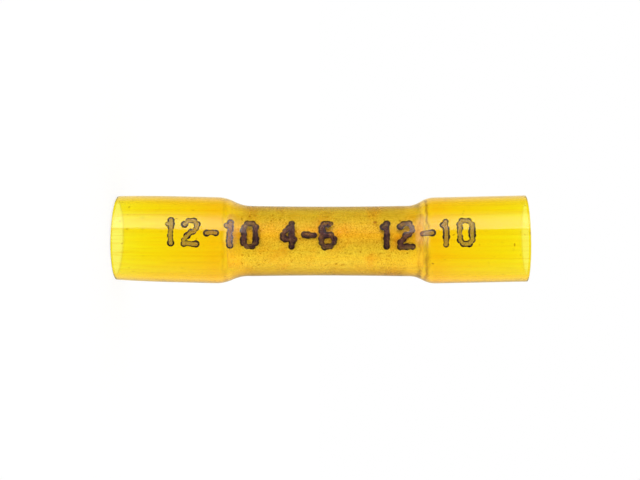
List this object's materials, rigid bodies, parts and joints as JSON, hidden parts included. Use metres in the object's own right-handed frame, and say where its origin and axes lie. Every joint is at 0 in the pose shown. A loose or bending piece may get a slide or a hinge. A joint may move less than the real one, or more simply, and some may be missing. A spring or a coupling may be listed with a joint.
{
  "type": "butt connector",
  "caption": "Necked heat-shrink sleeve with a glue lining over a plated crimp barrel, joining and sealing two wire ends.",
  "frame": {"origin": "on the barrel's axis, level with the lowest point of the lower mouth, on which the part stands", "axes": "+Z along the barrel, from the longer lower flare to the shorter upper one; both flares lean a little towards -X; the pressed wire stop is on the +Y side"},
  "size_m": [0.0089, 0.0088, 0.0415],
  "materials": {
    "sleeve": "satin",
    "liner": "satin",
    "barrel": "satin"
  },
  "bodies": {
    "root": {"heat_shrink_sleeve": "sleeve", "adhesive_liner": "liner", "crimp_barrel": "barrel"}
  },
  "joints": []
}
